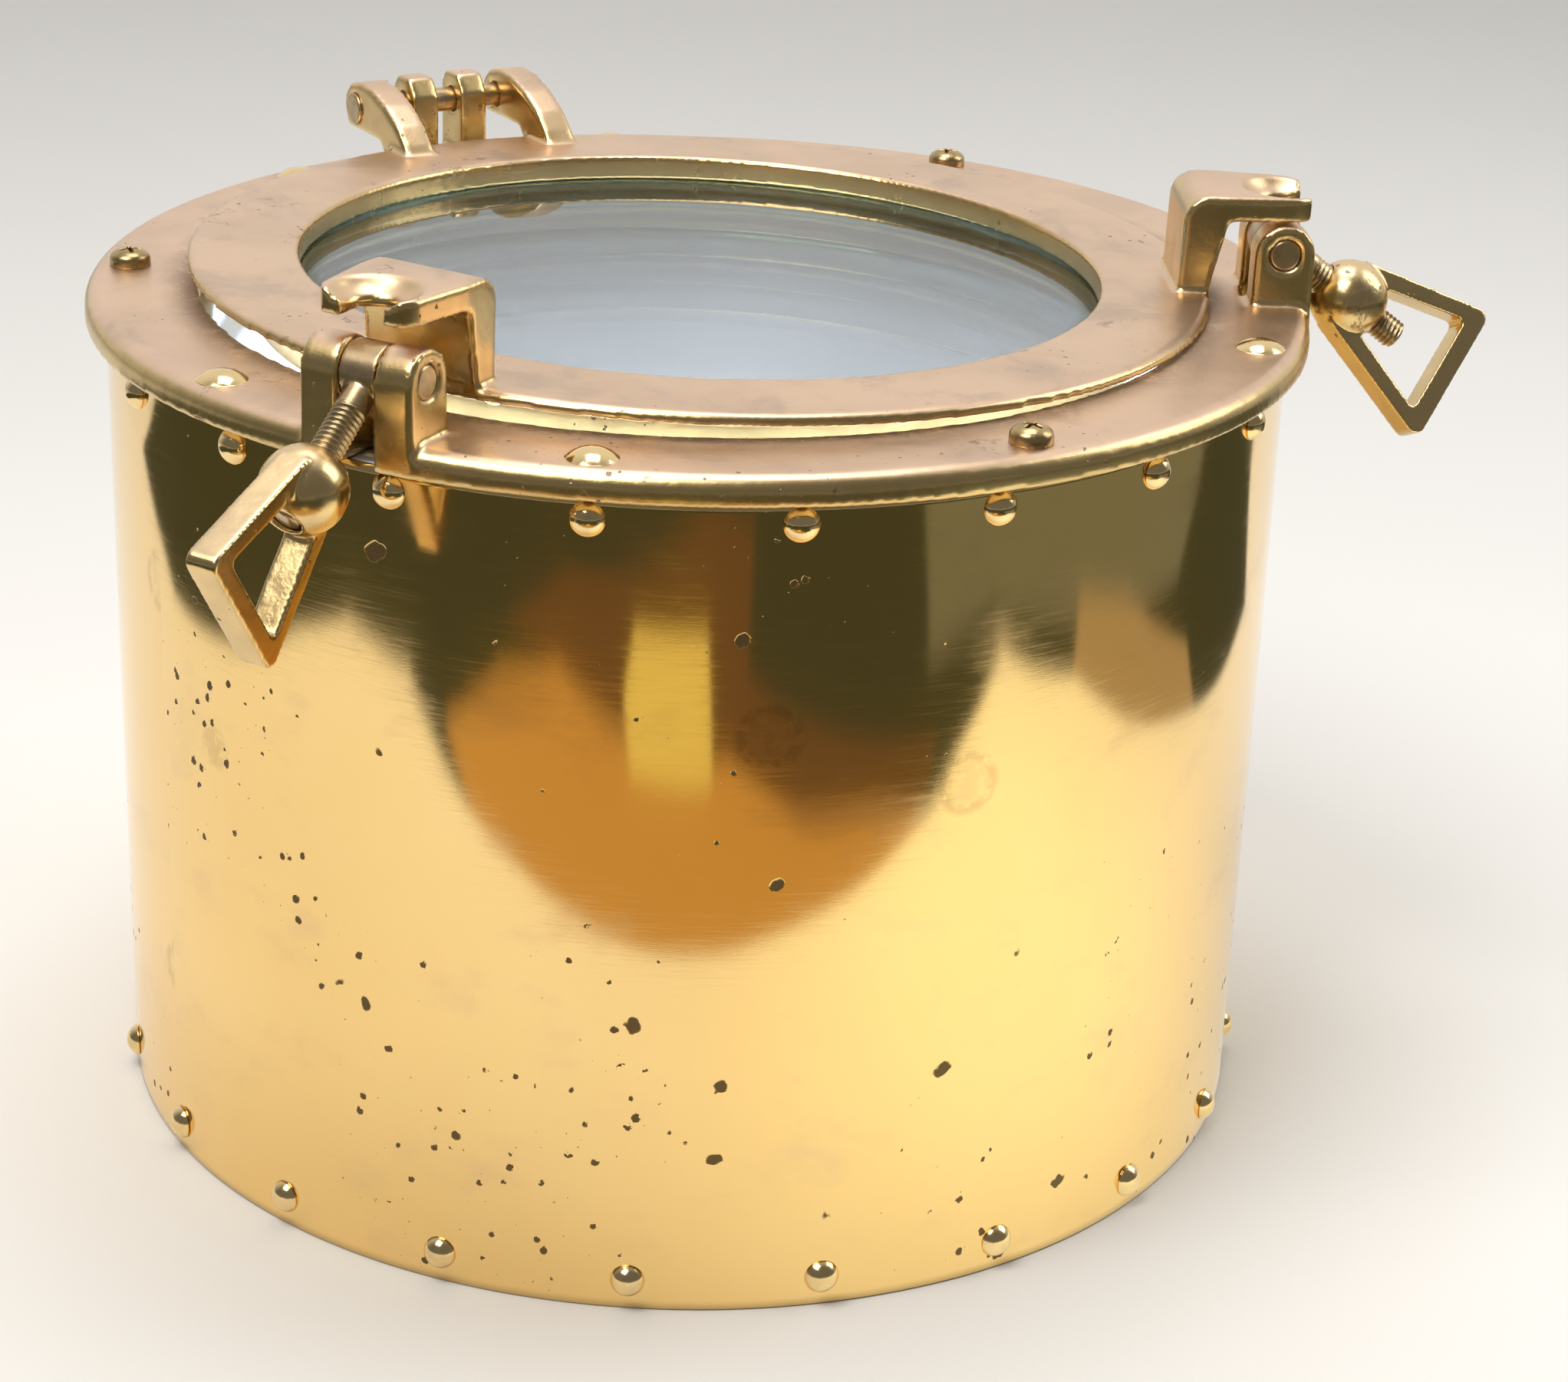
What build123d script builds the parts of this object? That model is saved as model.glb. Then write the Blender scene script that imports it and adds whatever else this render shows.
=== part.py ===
"""Opening porthole on a riveted sheet-brass drum, as separate named pieces.

Millimetres, +Z up. The origin is the centre of the drum's foot on the floor and the sash hinge
is towards +Y. Azimuths are degrees from +X, counter-clockwise seen from above.
"""
from build123d import *
from math import cos, radians, sin, sqrt
import os

# ---- flange and drum -------------------------------------------------------------------
FLANGE_R = 190.0
FLANGE_BORE_R = 155.5
FLANGE_Z = 252.3            # underside, level with the drum's top edge
FLANGE_T = 8.8
FLANGE_TOP = FLANGE_Z + FLANGE_T
FLANGE_RIM_ROUND = 4.8
FLANGE_BORE_ROUND = 1.6
DRUM_R = 183.8
SHEET = 1.2
OVERRUN = 8.0               # how far a cutting rod runs past what it cuts

# ---- fasteners -------------------------------------------------------------------------
FASTENER_PCD_R = 177.7
SCREW_AZIMUTHS = (-90.0, 30.0, 150.0)
RIVET_AZIMUTHS = (-50.0, -10.0, 70.0, 110.0, 190.0, 230.0)
SIDE_RIVET_COUNT = 20
TOP_ROW_Z = 245.7
TOP_ROW_PHASE = -94.0
FOOT_ROW_Z = 9.5
FOOT_ROW_PHASE = -89.4
SIDE_RIVET_R = 5.2
SIDE_RIVET_H = 3.6
SIDE_RIVET_SHANK_R = 2.2
FLANGE_RIVET_R = 7.5
FLANGE_RIVET_H = 3.0
FLANGE_RIVET_SHANK_R = 3.0
SCREW_HEAD_R = 6.3
SCREW_HEAD_H = 5.2
SCREW_HEAD_EDGE = 1.6
SCREW_SHANK_R = 2.6
SCREW_PROUD = 1.5           # how far a screw's point stands below the ring it holds
RECESS_DEPTH = 2.4
RECESS_LENGTH = 6.4
RECESS_WIDTH = 1.3
RECESS_TURN = 20.0

# ---- hidden ring and liner behind the drum ---------------------------------------------
ANGLE_T = 2.0
ANGLE_LEG_R = 165.0
ANGLE_TOP = FLANGE_Z - SHEET
ANGLE_FOOT = 237.0
PAN_RIM_H = 18.0
LINER_MOUTH_R = 152.5
LINER_WALL_R = 147.2
LINER_STEP_TOP = 241.0
LINER_STEP_FOOT = 234.0
LINER_STEP_EASE = 0.5       # keeps the sheet's thickness through the sloping step
LINER_FLOOR_Z = 14.0
LINER_LIP_GAP = 0.2

# ---- hinge -----------------------------------------------------------------------------
HINGE_Y = 182.5
HINGE_Z = 278.5
HINGE_PIN_R = 4.2
ARM_INNER_X = 21.5
ARM_OUTER_X = 32.5
KNUCKLE_INNER_X = 4.5
KNUCKLE_OUTER_X = 14.5
KNUCKLE_ROUND = 1.8
KNUCKLE_FOOT = FLANGE_TOP - 4.0 - HINGE_Z
ARM_ROUND = 2.0
ARM_FOOT = -10.9
PEEN_OVERSIZE = 1.1         # peened pin ends, wider than the pin and standing proud of the arm
PEEN_SUNK = 0.9
PEEN_PROUD = 0.8

# side outlines, as (outwards, up) from the hinge pin's axis
KNUCKLE_OUTLINE = (
    (-9.2, KNUCKLE_FOOT),
    (-9.2, 3.5),
    (-4.6, 9.6),
    (3.6, 9.6),
    (7.2, 5.0),
    (7.2, KNUCKLE_FOOT),
)
ARM_OUTLINE = (
    (-43.0, ARM_FOOT),
    (-42.0, -8.8),
    (-38.5, -5.0),
    (-32.0, 0.6),
    (-22.5, 5.6),
    (-12.5, 8.8),
    (-3.5, 9.8),
    (4.0, 8.2),
    (8.2, 3.8),
    (9.0, -1.0),
    (6.4, -7.2),
    (-18.5, -7.2),
    (-21.0, -9.6),
    (-21.0, ARM_FOOT),
)

# ---- clevises and dogs -----------------------------------------------------------------
DOG_R = 180.3
DOG_Z = 277.6
DOG_PIN_R = 5.0
EAR_R = 9.3
EAR_GAP = 6.0
EAR_OUTER = 18.0
PIN_SETBACK = 0.6
PIN_CHAMFER = 0.6
RUN_FIT = 0.05
BOLT_R = 4.76
BOLT_END = 51.0
THREAD_PITCH = 1.6
THREAD_DEPTH = 0.75
THREAD_START = 15.0
TIP_CHAMFER = 0.8
EYE_R = 8.6
EYE_HALF = 5.7
BALL_R = 12.4
BALL_FLAT = 1.4             # depth of the flat at each end of the ball's bore
NUT_BORE_R = BOLT_R + 0.08
LOOP_HALF = 4.6
LOOP_CORNER = 3.5
LOOP_INNER_CORNER = 1.8

# handle loop, as (along the bolt, across it) from the ball's centre
LOOP_OUTER = ((-3.0, 12.0), (42.9, 25.3), (42.9, -25.3), (-3.0, -12.0))
LOOP_INNER = ((6.0, 8.2), (36.4, 17.7), (36.4, -17.7), (6.0, -8.2))

# azimuth, droop of the bolt below level, ball centre along the bolt, handle turn about the bolt
RIGHT_DOG = (-30.0, 36.5, 30.4, 31.5)
LEFT_DOG = (210.0, 35.8, 40.8, 4.2)

# ---- sash ------------------------------------------------------------------------------
SASH_R = 158.9
SASH_BORE_R = 124.8
SASH_LIFT = 4.1             # open gap between flange and sash at the centre
SASH_T = 3.2
SASH_RIM_ROUND = 2.6
SASH_BORE_ROUND = 1.8
SASH_HUB_DEPTH = 4.9
SASH_HUB_R = 130.0
SASH_TILT = 1.2             # the sash rests a little out of level, high towards SASH_TILT_AZ
SASH_TILT_AZ = 152.0
GLASS_R = 134.0
GLASS_T = 10.0
GLASS_CHAMFER = 0.8
RETAINER_T = 2.0
RETAINER_R = 153.0
RETAINER_CUP_R = 138.5
RETAINER_LIP_R = 127.0
RETAINER_SCREWS = 8
RETAINER_SCREW_PCD_R = 147.0
RETAINER_SCREW_PHASE = -143.4
RETAINER_HEAD_R = 3.9
RETAINER_HEAD_H = 2.6
RETAINER_HEAD_EDGE = 1.2

# ---- fork lugs on the sash -------------------------------------------------------------
LUG_TOP = 33.9
LUG_T = 7.8
LUG_INNER_R = 147.5
LUG_POST_FOOT_R = 157.0
LUG_POST_TOP_R = 161.5
LUG_TIP_R = 187.5
LUG_HALF = 18.0
LUG_TIP_HALF = 15.5
LUG_NOSE = 3.0              # how much narrower the rounded-off nose of each tine is
LUG_TAPER_END_R = 183.5
LUG_BACK_ROUND = 8.0
LUG_THROAT_ROUND = 5.0
LUG_TIP_ROUND = 1.6
FORK_HALF = 7.0
SEAT_R = 18.0
SEAT_MOUTH_R = 13.5


def radial(azimuth):
    return Vector(cos(radians(azimuth)), sin(radians(azimuth)), 0)


def tangent(azimuth):
    return Vector(-sin(radians(azimuth)), cos(radians(azimuth)), 0)


def side_plane(origin, azimuth):
    """Upright plane through origin: x runs outwards, y runs up."""
    return Plane(origin=origin, x_dir=radial(azimuth), z_dir=-tangent(azimuth))


def tilted_sash_plane():
    """The plane of the sash's underside, with its x axis kept above world X."""
    lean = radians(SASH_TILT)
    up = radial(SASH_TILT_AZ) * -sin(lean) + Vector(0, 0, cos(lean))
    return Plane(origin=(0, 0, FLANGE_TOP + SASH_LIFT), x_dir=(up.Z, 0, -up.X), z_dir=up)


SASH = tilted_sash_plane()


def sash_side_plane(azimuth):
    """Upright plane through the sash's centre, leaning with the sash."""
    out = SASH.x_dir * cos(radians(azimuth)) + SASH.y_dir * sin(radians(azimuth))
    across = SASH.x_dir * -sin(radians(azimuth)) + SASH.y_dir * cos(radians(azimuth))
    return Plane(origin=SASH.origin, x_dir=out, z_dir=across * -1)


def bolt_plane(dog):
    """Plane across a swing bolt at its pin: z runs out along the bolt, x runs along the pin."""
    azimuth, droop = dog[0], dog[1]
    along = radial(azimuth) * cos(radians(droop)) + Vector(0, 0, -sin(radians(droop)))
    return Plane(origin=pin_centre(azimuth), x_dir=tangent(azimuth), z_dir=along)


def pin_centre(azimuth):
    return radial(azimuth) * DOG_R + Vector(0, 0, DOG_Z)


def save(built, name):
    built.part.label = name
    export_step(built.part, f"parts/{name}.step")


def drum_shell():
    top_row = side_rivet_cutters(TOP_ROW_Z, TOP_ROW_PHASE)
    foot_row = side_rivet_cutters(FOOT_ROW_Z, FOOT_ROW_PHASE)
    with BuildPart() as shell:
        with BuildSketch(Plane.XY):
            Circle(DRUM_R)
            Circle(DRUM_R - SHEET, mode=Mode.SUBTRACT)
        extrude(amount=FLANGE_Z)
        add(top_row.part, mode=Mode.SUBTRACT)
        add(foot_row.part, mode=Mode.SUBTRACT)
    return shell


def side_rivet_cutters(height, phase):
    """Radial rods that cut the holes for one row of side rivets."""
    with BuildPart() as rods:
        for azimuth in row_azimuths(phase):
            start = radial(azimuth) * DRUM_R + Vector(0, 0, height)
            with BuildSketch(Plane(origin=start, z_dir=radial(azimuth))):
                Circle(SIDE_RIVET_SHANK_R)
            extrude(amount=OVERRUN, both=True)
    return rods


def row_azimuths(phase):
    return [phase + 360.0 * k / SIDE_RIVET_COUNT for k in range(SIDE_RIVET_COUNT)]


def flange_fastener_cutters():
    """Upright rods that cut the holes for the flange's screws and rivets."""
    with BuildPart() as rods:
        with BuildSketch(Plane.XY.offset(FLANGE_Z - OVERRUN)):
            for azimuth in SCREW_AZIMUTHS:
                with Locations(radial(azimuth) * FASTENER_PCD_R):
                    Circle(SCREW_SHANK_R)
            for azimuth in RIVET_AZIMUTHS:
                with Locations(radial(azimuth) * FASTENER_PCD_R):
                    Circle(FLANGE_RIVET_SHANK_R)
        extrude(amount=FLANGE_T + 2 * OVERRUN)
    return rods


def top_angle_ring():
    inner = DRUM_R - SHEET
    side_row = side_rivet_cutters(TOP_ROW_Z, TOP_ROW_PHASE)
    uprights = flange_fastener_cutters()
    with BuildPart() as ring:
        with BuildSketch(Plane.XZ):
            with BuildLine():
                Polyline(
                    (inner, ANGLE_FOOT),
                    (inner, ANGLE_TOP),
                    (ANGLE_LEG_R, ANGLE_TOP),
                    (ANGLE_LEG_R, ANGLE_TOP - ANGLE_T),
                    (inner - ANGLE_T, ANGLE_TOP - ANGLE_T),
                    (inner - ANGLE_T, ANGLE_FOOT),
                    close=True,
                )
            make_face()
        revolve(axis=Axis.Z)
        add(side_row.part, mode=Mode.SUBTRACT)
        add(uprights.part, mode=Mode.SUBTRACT)
    return ring


def bottom_pan():
    inner = DRUM_R - SHEET
    side_row = side_rivet_cutters(FOOT_ROW_Z, FOOT_ROW_PHASE)
    with BuildPart() as pan:
        with BuildSketch(Plane.XZ):
            with BuildLine():
                Polyline(
                    (0, 0),
                    (inner, 0),
                    (inner, PAN_RIM_H),
                    (inner - ANGLE_T, PAN_RIM_H),
                    (inner - ANGLE_T, ANGLE_T),
                    (0, ANGLE_T),
                    close=True,
                )
            make_face()
        revolve(axis=Axis.Z)
        add(side_row.part, mode=Mode.SUBTRACT)
    return pan


def liner():
    """Stepped wall and the lip that the flange clamps."""
    lip_r = DRUM_R - SHEET - LINER_LIP_GAP
    step_top = LINER_STEP_TOP + LINER_STEP_EASE
    step_foot = LINER_STEP_FOOT + LINER_STEP_EASE
    uprights = flange_fastener_cutters()
    with BuildPart() as wall:
        with BuildSketch(Plane.XZ):
            with BuildLine():
                Polyline(
                    (LINER_WALL_R, LINER_FLOOR_Z),
                    (LINER_WALL_R, LINER_STEP_FOOT),
                    (LINER_MOUTH_R, LINER_STEP_TOP),
                    (LINER_MOUTH_R, FLANGE_Z - SHEET),
                    (lip_r, FLANGE_Z - SHEET),
                    (lip_r, FLANGE_Z),
                    (LINER_MOUTH_R - SHEET, FLANGE_Z),
                    (LINER_MOUTH_R - SHEET, step_top),
                    (LINER_WALL_R - SHEET, step_foot),
                    (LINER_WALL_R - SHEET, LINER_FLOOR_Z),
                    close=True,
                )
            make_face()
        revolve(axis=Axis.Z)
        add(uprights.part, mode=Mode.SUBTRACT)
    return wall


def liner_floor():
    with BuildPart() as disc:
        with BuildSketch(Plane.XY.offset(LINER_FLOOR_Z)):
            Circle(LINER_WALL_R - SHEET)
        extrude(amount=SHEET)
    return disc


def flange():
    ears = [clevis_ears(dog[0]) for dog in (RIGHT_DOG, LEFT_DOG)]
    slots = [clevis_cutters(dog[0]) for dog in (RIGHT_DOG, LEFT_DOG)]
    knuckles = [hinge_knuckle(side) for side in (-1, 1)]
    uprights = flange_fastener_cutters()
    with BuildPart() as plate:
        with BuildSketch(Plane.XZ):
            with BuildLine():
                Polyline(
                    (FLANGE_BORE_R, FLANGE_Z),
                    (FLANGE_R, FLANGE_Z),
                    (FLANGE_R, FLANGE_TOP),
                    (FLANGE_BORE_R, FLANGE_TOP),
                    close=True,
                )
            face = make_face()
            top = face.vertices().group_by(Axis.Y)[-1].sort_by(Axis.X)
            fillet(top[-1], FLANGE_RIM_ROUND)
            fillet(top[0], FLANGE_BORE_ROUND)
        revolve(axis=Axis.Z)
        for raised in ears + knuckles:
            add(raised.part)
        for cutter in slots + [uprights]:
            add(cutter.part, mode=Mode.SUBTRACT)
    return plate


def clevis_ears(azimuth):
    """Round-topped block, as wide as both ears, rising flush with the rim."""
    with BuildPart() as block:
        with BuildSketch(side_plane(pin_centre(azimuth), azimuth)):
            Circle(EAR_R)
            with Locations((0, -(DOG_Z - FLANGE_Z) / 2)):
                Rectangle(2 * EAR_R, DOG_Z - FLANGE_Z)
        extrude(amount=EAR_OUTER, both=True)
    return block


def clevis_cutters(azimuth):
    """The slot between the ears, open through the rim, and the pin's bore."""
    upright = side_plane(pin_centre(azimuth), azimuth)
    reach = FLANGE_R - DOG_R + OVERRUN
    with BuildPart() as cutters:
        with BuildSketch(upright):
            with Locations((0.5 * (reach - EAR_R), 0)):
                Rectangle(reach + EAR_R, 2 * (DOG_Z - FLANGE_Z + OVERRUN))
        extrude(amount=EAR_GAP, both=True)
        with BuildSketch(upright):
            Circle(DOG_PIN_R)
        extrude(amount=EAR_OUTER + OVERRUN, both=True)
    return cutters


def hinge_knuckle(side):
    """Square-shouldered block on the flange that carries the hinge pin."""
    middle = side * 0.5 * (KNUCKLE_INNER_X + KNUCKLE_OUTER_X)
    upright = side_plane((middle, HINGE_Y, HINGE_Z), 90.0)
    with BuildPart() as block:
        with BuildSketch(upright):
            with BuildLine():
                Polyline(*KNUCKLE_OUTLINE, close=True)
            outline = make_face()
            fillet(outline.vertices().filter_by(lambda v: v.Y > 0), KNUCKLE_ROUND)
        extrude(amount=0.5 * (KNUCKLE_OUTER_X - KNUCKLE_INNER_X), both=True)
        with BuildSketch(upright):
            Circle(HINGE_PIN_R + RUN_FIT)
        extrude(amount=OVERRUN, both=True, mode=Mode.SUBTRACT)
    return block


def dome_profile(radius, height, shank_radius, shank_length):
    """Half outline of a domed rivet, head upwards from y = 0."""
    Polyline((0, height), (0, -shank_length), (shank_radius, -shank_length),
             (shank_radius, 0), (radius, 0))
    sphere = (radius * radius + height * height) / (2 * height)
    mid_x = 0.5 * radius
    mid_y = height - sphere + sqrt(sphere * sphere - mid_x * mid_x)
    ThreePointArc((radius, 0), (mid_x, mid_y), (0, height))


def flange_rivets():
    with BuildPart() as rivets:
        for azimuth in RIVET_AZIMUTHS:
            seat = radial(azimuth) * FASTENER_PCD_R + Vector(0, 0, FLANGE_TOP)
            with BuildSketch(side_plane(seat, azimuth)):
                with BuildLine():
                    dome_profile(FLANGE_RIVET_R, FLANGE_RIVET_H, FLANGE_RIVET_SHANK_R,
                                 FLANGE_TOP - ANGLE_TOP + ANGLE_T)
                make_face()
            revolve(axis=Axis(seat, (0, 0, 1)))
    return rivets


def flange_screws():
    length = FLANGE_TOP - ANGLE_TOP + ANGLE_T + SCREW_PROUD
    edge = (SCREW_HEAD_R, SCREW_HEAD_EDGE)
    crown = (0, SCREW_HEAD_H)
    shoulder = (0.73 * SCREW_HEAD_R, 0.83 * SCREW_HEAD_H)
    with BuildPart() as screws:
        for azimuth in SCREW_AZIMUTHS:
            seat = radial(azimuth) * FASTENER_PCD_R + Vector(0, 0, FLANGE_TOP)
            with BuildSketch(side_plane(seat, azimuth)):
                with BuildLine():
                    Polyline(crown, (0, -length), (SCREW_SHANK_R, -length), (SCREW_SHANK_R, 0),
                             (SCREW_HEAD_R, 0), edge)
                    Spline(edge, shoulder, crown, tangents=((0, 1), (-1, 0)))
                make_face()
            revolve(axis=Axis(seat, (0, 0, 1)))
            floor = seat + Vector(0, 0, SCREW_HEAD_H - RECESS_DEPTH)
            with BuildSketch(Plane(origin=floor, x_dir=radial(azimuth + RECESS_TURN), z_dir=(0, 0, 1))):
                Rectangle(RECESS_LENGTH, RECESS_WIDTH)
                Rectangle(RECESS_WIDTH, RECESS_LENGTH)
            extrude(amount=SCREW_HEAD_H, mode=Mode.SUBTRACT)
    return screws


def side_rivets(height, phase):
    with BuildPart() as rivets:
        for azimuth in row_azimuths(phase):
            seat = radial(azimuth) * DRUM_R + Vector(0, 0, height)
            with BuildSketch(Plane(origin=seat, x_dir=(0, 0, 1), z_dir=tangent(azimuth))):
                with BuildLine():
                    dome_profile(SIDE_RIVET_R, SIDE_RIVET_H, SIDE_RIVET_SHANK_R, SHEET + ANGLE_T)
                make_face()
            revolve(axis=Axis(seat, radial(azimuth)))
    return rivets


def hinge_pin():
    """Pin with peened ends standing in countersinks in the sash's two arms."""
    with BuildPart() as pin:
        with BuildSketch(Plane.YZ):
            with Locations((HINGE_Y, HINGE_Z)):
                Circle(HINGE_PIN_R)
        extrude(amount=ARM_OUTER_X + PEEN_PROUD, both=True)
        for side in (-1, 1):
            with BuildSketch(peen_plane(side)):
                Circle(HINGE_PIN_R + PEEN_OVERSIZE)
            extrude(amount=PEEN_SUNK + PEEN_PROUD)
    return pin


def peen_plane(side):
    """Floor of the countersink in one arm's outer face."""
    start = Vector(side * (ARM_OUTER_X - PEEN_SUNK), HINGE_Y, HINGE_Z)
    return Plane(origin=start, x_dir=(0, 1, 0), z_dir=(side, 0, 0))


def dog_pin(dog):
    """Plain pin through both ears; its ends sit just inside the ears' faces."""
    with BuildPart() as pin:
        with BuildSketch(side_plane(pin_centre(dog[0]), dog[0])):
            Circle(DOG_PIN_R)
        extrude(amount=EAR_OUTER - PIN_SETBACK, both=True)
        chamfer(pin.edges().filter_by(GeomType.CIRCLE), PIN_CHAMFER)
    return pin


def sash_ring():
    arms = [hinge_arm(side) for side in (-1, 1)]
    with BuildPart() as ring:
        with BuildSketch(sash_side_plane(0)):
            with BuildLine():
                Polyline(
                    (SASH_BORE_R, -SASH_HUB_DEPTH),
                    (SASH_HUB_R, -SASH_HUB_DEPTH),
                    (SASH_HUB_R, 0),
                    (SASH_R, 0),
                    (SASH_R, SASH_T),
                    (SASH_BORE_R, SASH_T),
                    close=True,
                )
            face = make_face()
            top = face.vertices().group_by(Axis.Y)[-1].sort_by(Axis.X)
            fillet(top[-1], SASH_RIM_ROUND)
            fillet(top[0], SASH_BORE_ROUND)
        revolve(axis=Axis(SASH.origin, SASH.z_dir))
        for arm in arms:
            add(arm.part)
    return ring


def fork_lug(azimuth):
    """Post and overhanging fork that a swing bolt drops into, standing on the sash ring."""
    upright = sash_side_plane(azimuth)
    above = SASH.origin + SASH.z_dir * (LUG_TOP + OVERRUN)
    over = Plane(origin=above, x_dir=upright.x_dir, z_dir=SASH.z_dir)
    plate_foot = LUG_TOP - LUG_T
    rise = sqrt(SEAT_R**2 - SEAT_MOUTH_R**2)
    with BuildPart() as lug:
        with BuildSketch(upright):
            with BuildLine():
                Polyline(
                    (LUG_INNER_R, SASH_T),
                    (LUG_INNER_R, LUG_TOP),
                    (LUG_TIP_R, LUG_TOP),
                    (LUG_TIP_R, plate_foot),
                    (LUG_POST_TOP_R, plate_foot),
                    (LUG_POST_FOOT_R, SASH_T),
                    close=True,
                )
            corners = make_face().vertices()
            back = corners.filter_by(lambda v: v.X < LUG_INNER_R + 1 and v.Y > plate_foot)
            throat = corners.filter_by(lambda v: abs(v.X - LUG_POST_TOP_R) < 1)
            tip = corners.filter_by(lambda v: v.X > LUG_TIP_R - 1)
            fillet(back, LUG_BACK_ROUND)
            fillet(throat, LUG_THROAT_ROUND)
            fillet(tip, LUG_TIP_ROUND)
        extrude(amount=LUG_HALF, both=True)
        with BuildSketch(over):
            for side in (-1, 1):
                with BuildLine():
                    Polyline(*tine_trim(side), close=True)
                make_face()
            with Locations((DOG_R, 0)):
                Circle(FORK_HALF)
            with Locations((DOG_R + OVERRUN, 0)):
                Rectangle(2 * OVERRUN, 2 * FORK_HALF)
        extrude(amount=-(2 * OVERRUN + LUG_T), mode=Mode.SUBTRACT)
        with Locations(SASH.origin + upright.x_dir * DOG_R + SASH.z_dir * (LUG_TOP + rise)):
            Sphere(SEAT_R, mode=Mode.SUBTRACT)
    return lug


def tine_trim(side):
    """Plan outline of what is cut away beside one tine, as (outwards, across)."""
    beyond = LUG_TIP_R + OVERRUN
    nose = LUG_TIP_HALF - LUG_NOSE
    return [
        (LUG_POST_TOP_R, side * LUG_HALF),
        (LUG_TAPER_END_R, side * LUG_TIP_HALF),
        (LUG_TIP_R, side * nose),
        (beyond, side * nose),
        (beyond, side * (LUG_HALF + OVERRUN)),
        (LUG_POST_TOP_R, side * (LUG_HALF + OVERRUN)),
    ]


def hinge_arm(side):
    """Humped arm from the ring up and back to the hinge pin."""
    middle = side * 0.5 * (ARM_INNER_X + ARM_OUTER_X)
    upright = side_plane((middle, HINGE_Y, HINGE_Z), 90.0)
    with BuildPart() as arm:
        with BuildSketch(upright):
            with BuildLine():
                Polyline(*ARM_OUTLINE, close=True)
            outline = make_face()
            fillet(outline.vertices().filter_by(lambda v: v.Y > -8), ARM_ROUND)
        extrude(amount=0.5 * (ARM_OUTER_X - ARM_INNER_X), both=True)
        with BuildSketch(upright):
            Circle(HINGE_PIN_R)
        extrude(amount=OVERRUN, both=True, mode=Mode.SUBTRACT)
        with BuildSketch(peen_plane(side)):
            Circle(HINGE_PIN_R + PEEN_OVERSIZE)
        extrude(amount=OVERRUN, mode=Mode.SUBTRACT)
    return arm


def glass():
    with BuildPart() as pane:
        with BuildSketch(SASH.offset(-SASH_HUB_DEPTH - GLASS_T)):
            Circle(GLASS_R)
        extrude(amount=GLASS_T)
        chamfer(pane.edges(), GLASS_CHAMFER)
    return pane


def glass_retainer():
    """Flanged cup under the sash that holds the pane up against the sash's hub."""
    foot = -(SASH_HUB_DEPTH + GLASS_T)
    with BuildPart() as cup:
        with BuildSketch(sash_side_plane(0)):
            with BuildLine():
                Polyline(
                    (RETAINER_CUP_R - RETAINER_T, 0),
                    (RETAINER_R, 0),
                    (RETAINER_R, -RETAINER_T),
                    (RETAINER_CUP_R, -RETAINER_T),
                    (RETAINER_CUP_R, foot - RETAINER_T),
                    (RETAINER_LIP_R, foot - RETAINER_T),
                    (RETAINER_LIP_R, foot),
                    (RETAINER_CUP_R - RETAINER_T, foot),
                    close=True,
                )
            make_face()
        revolve(axis=Axis(SASH.origin, SASH.z_dir))
    return cup


def retainer_screws():
    """Pan heads hanging under the retainer's flange."""
    edge = (RETAINER_HEAD_R, -RETAINER_HEAD_EDGE)
    crown = (0, -RETAINER_HEAD_H)
    shoulder = (0.72 * RETAINER_HEAD_R, -0.88 * RETAINER_HEAD_H)
    with BuildPart() as screws:
        for k in range(RETAINER_SCREWS):
            azimuth = RETAINER_SCREW_PHASE + 360.0 * k / RETAINER_SCREWS
            side = sash_side_plane(azimuth)
            seat = side.origin + side.x_dir * RETAINER_SCREW_PCD_R - SASH.z_dir * RETAINER_T
            with BuildSketch(Plane(origin=seat, x_dir=side.x_dir, z_dir=side.z_dir)):
                with BuildLine():
                    Polyline(crown, (0, 0), (RETAINER_HEAD_R, 0), edge)
                    Spline(edge, shoulder, crown, tangents=((0, -1), (-1, 0)))
                make_face()
            revolve(axis=Axis(seat, SASH.z_dir))
    return screws


def dog_bolt(dog):
    """Swing bolt: a flat-sided eye on the pin and a threaded shank, ridge by ridge."""
    across = bolt_plane(dog)
    along = across.z_dir
    eye_plane = Plane(origin=across.origin, x_dir=along, z_dir=across.x_dir)
    shank_plane = Plane(origin=across.origin, x_dir=across.x_dir, z_dir=across.y_dir * -1)
    with BuildPart() as bolt:
        with BuildSketch(eye_plane):
            Circle(EYE_R)
        extrude(amount=EYE_HALF, both=True)
        with BuildSketch(shank_plane):
            with BuildLine():
                Polyline(
                    (0, 0),
                    (BOLT_R, 0),
                    (BOLT_R, THREAD_START),
                    *thread_ridges(),
                    (BOLT_R - TIP_CHAMFER, BOLT_END),
                    (0, BOLT_END),
                    close=True,
                )
            make_face()
        revolve(axis=Axis(across.origin, along))
        with BuildSketch(eye_plane):
            Circle(DOG_PIN_R + RUN_FIT)
        extrude(amount=EYE_HALF + OVERRUN, both=True, mode=Mode.SUBTRACT)
    return bolt


def thread_ridges():
    """Half outline of the thread's ridges, as (radius, along)."""
    points = []
    along = THREAD_START
    while along + THREAD_PITCH < BOLT_END - TIP_CHAMFER:
        points += [(BOLT_R - THREAD_DEPTH, along + 0.5 * THREAD_PITCH), (BOLT_R, along + THREAD_PITCH)]
        along += THREAD_PITCH
    return points


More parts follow.
